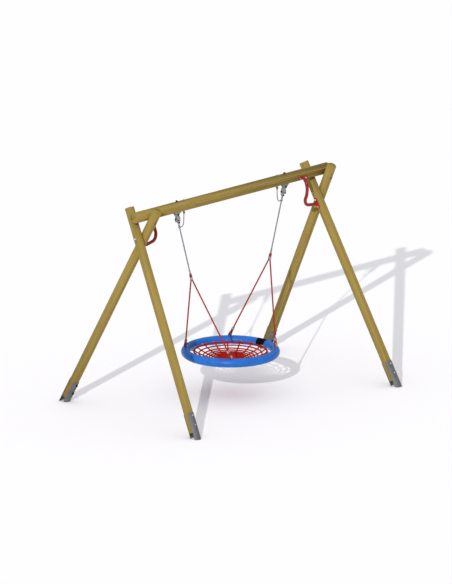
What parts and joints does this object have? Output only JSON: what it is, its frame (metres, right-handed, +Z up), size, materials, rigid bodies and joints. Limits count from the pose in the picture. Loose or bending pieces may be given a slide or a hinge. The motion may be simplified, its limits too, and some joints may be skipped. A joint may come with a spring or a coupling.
{
  "type": "basket swing",
  "caption": "Timber-framed basket swing: a padded ring seat with a sagging rope net, hung by forked ropes and swivel bearings from a round beam on crossed, leaning posts.",
  "frame": {"origin": "on the floor, under the middle of the top beam", "axes": "+X along the top beam, +Y across it in the swinging direction, +Z up"},
  "size_m": [3.8324, 2.622, 2.743],
  "materials": {
    "timber": "oiled round timber, fine streaks along the grain",
    "anchor_paint": "dark grey, satin",
    "zinc_steel": "zinc plated",
    "black_cap": "black, satin",
    "red_paint": "dark red gloss",
    "bearing_grey": "warm grey, galvanised look",
    "bush_bronze": "plain bearing bronze",
    "grey_cable": "twisted strands over a steel core",
    "pressed_ferrule": "pressed, satin",
    "red_rope": "twisted rope",
    "ring_steel": "plain tube",
    "blue_padding": "blue, glossy skin over foam",
    "black_sleeve": "black, matt"
  },
  "bodies": {
    "frame": {"top_beam": "timber", "post_left_outer": "timber", "post_left_inner": "timber", "post_right_outer": "timber", "post_right_inner": "timber", "anchor_left_outer_front": "anchor_paint", "anchor_left_outer_back": "anchor_paint", "anchor_left_inner_front": "anchor_paint", "anchor_left_inner_back": "anchor_paint", "anchor_right_outer_front": "anchor_paint", "anchor_right_outer_back": "anchor_paint", "anchor_right_inner_front": "anchor_paint", "anchor_right_inner_back": "anchor_paint", "anchor_bolts": "zinc_steel", "black_nut_caps": "black_cap", "crossing_bolts": "zinc_steel", "beam_screws": "zinc_steel", "brace_left": "red_paint", "brace_right": "red_paint", "brace_bolts": "zinc_steel", "hanger_bracket_left": "bearing_grey", "hanger_bracket_right": "bearing_grey", "hanger_studs": "zinc_steel", "safety_eye_bolts": "zinc_steel", "bearing_housing_left": "bearing_grey", "bearing_housing_right": "bearing_grey", "clamp_bolts": "black_cap", "swing_bushes": "bush_bronze", "safety_cable_left": "grey_cable", "safety_cable_right": "grey_cable"},
    "left_yoke": {"yoke_left": "bearing_grey", "swing_pin_left": "zinc_steel", "cable_pin_left": "zinc_steel", "pin_caps_left": "black_cap"},
    "right_yoke": {"yoke_right": "bearing_grey", "swing_pin_right": "zinc_steel", "cable_pin_right": "zinc_steel", "pin_caps_right": "black_cap"},
    "left_hanger": {"cable_ends_left": "pressed_ferrule", "cable_left": "grey_cable", "cable_clamp_left": "bearing_grey", "rope_loops_left": "red_rope", "rope_ferrules_left": "pressed_ferrule", "rope_left_front": "red_rope", "rope_left_back": "red_rope"},
    "right_hanger": {"cable_ends_right": "pressed_ferrule", "cable_right": "grey_cable", "cable_clamp_right": "bearing_grey", "rope_loops_right": "red_rope", "rope_ferrules_right": "pressed_ferrule", "rope_right_front": "red_rope", "rope_right_back": "red_rope"},
    "nest": {"ring_tube": "ring_steel", "ring_cover": "blue_padding", "ring_sleeve": "black_sleeve", "ring_shackles": "pressed_ferrule", "ring_pins": "zinc_steel", "net": "red_rope", "net_clips": "pressed_ferrule"}
  },
  "joints": [
    {"name": "left_swing", "type": "hinge", "parent": "frame", "child": "left_yoke", "pos_m": [-0.948, 0, 2.47502], "axis": [1, 0, 0], "range_deg": [-60, 60], "deforming": ["safety_cable_left"]},
    {"name": "right_swing", "type": "hinge", "parent": "frame", "child": "right_yoke", "pos_m": [0.948, 0, 2.47502], "axis": [1, 0, 0], "range_deg": [-60, 60], "deforming": ["safety_cable_right"]},
    {"name": "left_sway", "type": "hinge", "parent": "left_yoke", "child": "left_hanger", "pos_m": [-0.93349, 0, 2.42602], "axis": [0, 1, 0], "range_deg": [-3, 3]},
    {"name": "right_sway", "type": "hinge", "parent": "right_yoke", "child": "right_hanger", "pos_m": [0.93349, 0, 2.42602], "axis": [0, 1, 0], "range_deg": [-3, 3]},
    {"name": "nest_tilt", "type": "hinge", "parent": "left_hanger", "child": "nest", "pos_m": [-0.40411, 0, 0.6378], "axis": [0, 1, 0], "range_deg": [-7, 7]}
  ],
  "couplings": [
    {"joint": "right_swing", "follows": "left_swing", "ratio": 1},
    {"joint": "right_sway", "follows": "left_sway", "ratio": 1},
    {"joint": "nest_tilt", "follows": "left_sway", "ratio": -2.31}
  ]
}
